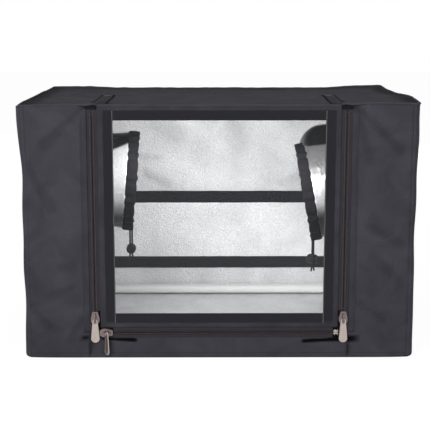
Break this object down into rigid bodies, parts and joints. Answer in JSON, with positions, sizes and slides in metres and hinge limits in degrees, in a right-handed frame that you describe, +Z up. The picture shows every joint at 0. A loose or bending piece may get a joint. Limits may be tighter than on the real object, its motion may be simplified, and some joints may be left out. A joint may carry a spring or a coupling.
{
  "type": "plant propagator",
  "caption": "Low box tent for raising seedlings: cloth cover on a tube frame, zipped window door, a duct sleeve with drawcord in each side and a rear mesh vent with flap.",
  "frame": {"origin": "middle of the floor's underside, where the tent stands", "axes": "+X to the right seen from the front, +Y to the back wall, +Z up; the door faces -Y"},
  "size_m": [0.602, 0.4134, 0.3923],
  "materials": {
    "tent_cloth": "charcoal woven cloth outside, bright hammered foil inside",
    "silver_cloth": "silver foil-faced cloth",
    "black_tape": "black woven tape, fuzzy where it holds by hook and loop",
    "window_film": "clear soft film",
    "zip_tape": "black zip tape with moulded teeth",
    "zip_metal": "warm nickel plating",
    "vent_net": "fine black mesh",
    "tube_paint": "white powder coat on steel tube",
    "corner_plastic": "black moulded plastic",
    "lock_plastic": "black moulded plastic",
    "spring_steel": "bright wire",
    "drawcord": "black braided cord"
  },
  "bodies": {
    "tent": {"post_front_left": "tube_paint", "post_front_right": "tube_paint", "post_back_left": "tube_paint", "post_back_right": "tube_paint", "rail_bottom_front": "tube_paint", "rail_bottom_back": "tube_paint", "rail_bottom_left": "tube_paint", "rail_bottom_right": "tube_paint", "rail_top_front": "tube_paint", "rail_top_back": "tube_paint", "rail_top_left": "tube_paint", "rail_top_right": "tube_paint", "corner_bottom_front_left": "corner_plastic", "corner_bottom_front_right": "corner_plastic", "corner_bottom_back_left": "corner_plastic", "corner_bottom_back_right": "corner_plastic", "corner_top_front_left": "corner_plastic", "corner_top_front_right": "corner_plastic", "corner_top_back_left": "corner_plastic", "corner_top_back_right": "corner_plastic", "floor_panel": "tent_cloth", "roof_panel": "tent_cloth", "back_wall": "tent_cloth", "left_wall": "tent_cloth", "right_wall": "tent_cloth", "front_left_panel": "tent_cloth", "front_right_panel": "tent_cloth", "front_sill": "tent_cloth", "zip_left_frame_half": "zip_tape", "zip_right_frame_half": "zip_tape", "zip_bottom_frame_half": "zip_tape", "zip_stop": "zip_metal", "vent_net": "vent_net", "tie_straps": "black_tape", "sleeve_left": "silver_cloth", "sleeve_right": "silver_cloth", "sleeve_casing_left": "black_tape", "sleeve_casing_right": "black_tape", "drawcord_left": "drawcord", "drawcord_right": "drawcord"},
    "door": {"door_panel": "tent_cloth", "window_film": "window_film", "window_tapes": "black_tape", "zip_left_door_half": "zip_tape", "zip_right_door_half": "zip_tape", "zip_bottom_door_half": "zip_tape"},
    "vent_flap": {"vent_flap": "silver_cloth", "vent_flap_tapes": "black_tape"},
    "slider_left": {"slider_left": "zip_metal"},
    "slider_right": {"slider_right": "zip_metal"},
    "slider_bottom": {"slider_bottom": "zip_metal"},
    "pull_left": {"pull_left": "zip_metal"},
    "pull_right": {"pull_right": "zip_metal"},
    "pull_bottom": {"pull_bottom": "zip_metal"},
    "plunger_left": {"plunger_left": "lock_plastic"},
    "plunger_right": {"plunger_right": "lock_plastic"},
    "cord_lock_left": {"cord_lock_left": "lock_plastic", "lock_spring_left": "spring_steel"},
    "cord_lock_right": {"cord_lock_right": "lock_plastic", "lock_spring_right": "spring_steel"}
  },
  "joints": [
    {"name": "door_hinge", "type": "hinge", "parent": "tent", "child": "door", "pos_m": [0, -0.1995, 0.3908], "axis": [-1, 0, 0], "range_deg": [0, 250]},
    {"name": "vent_flap_hinge", "type": "hinge", "parent": "tent", "child": "vent_flap", "pos_m": [0, 0.1982, 0.1975], "axis": [-1, 0, 0], "range_deg": [0, 75]},
    {"name": "slider_left_slide", "type": "slide", "parent": "tent", "child": "slider_left", "axis": [0, 0, 1], "range_m": [0, 0.296]},
    {"name": "pull_left_hinge", "type": "hinge", "parent": "slider_left", "child": "pull_left", "pos_m": [-0.1905, -0.20335, 0.0626], "axis": [-1, 0, 0], "range_deg": [0, 125]},
    {"name": "slider_right_slide", "type": "slide", "parent": "tent", "child": "slider_right", "axis": [0, 0, 1], "range_m": [0, 0.296]},
    {"name": "pull_right_hinge", "type": "hinge", "parent": "slider_right", "child": "pull_right", "pos_m": [0.1905, -0.20335, 0.0626], "axis": [-1, 0, 0], "range_deg": [0, 125]},
    {"name": "slider_bottom_slide", "type": "slide", "parent": "tent", "child": "slider_bottom", "axis": [1, 0, 0], "range_m": [0, 0.338]},
    {"name": "pull_bottom_hinge", "type": "hinge", "parent": "slider_bottom", "child": "pull_bottom", "pos_m": [-0.1731, -0.20665, 0.041], "axis": [-1, 0, 0], "range_deg": [0, 140]},
    {"name": "cord_lock_left_slide", "type": "slide", "parent": "tent", "child": "cord_lock_left", "axis": [0, 0, 1], "range_m": [-0.003, 0.022]},
    {"name": "plunger_left_press", "type": "slide", "parent": "cord_lock_left", "child": "plunger_left", "axis": [0, 1, 0], "range_m": [0, 0.0025], "stiffness_N_per_m": 400, "deforming": ["lock_spring_left"]},
    {"name": "cord_lock_right_slide", "type": "slide", "parent": "tent", "child": "cord_lock_right", "axis": [0, 0, 1], "range_m": [-0.003, 0.022]},
    {"name": "plunger_right_press", "type": "slide", "parent": "cord_lock_right", "child": "plunger_right", "axis": [-0.766, 0.6428, 0], "range_m": [0, 0.0025], "stiffness_N_per_m": 400, "deforming": ["lock_spring_right"]}
  ]
}
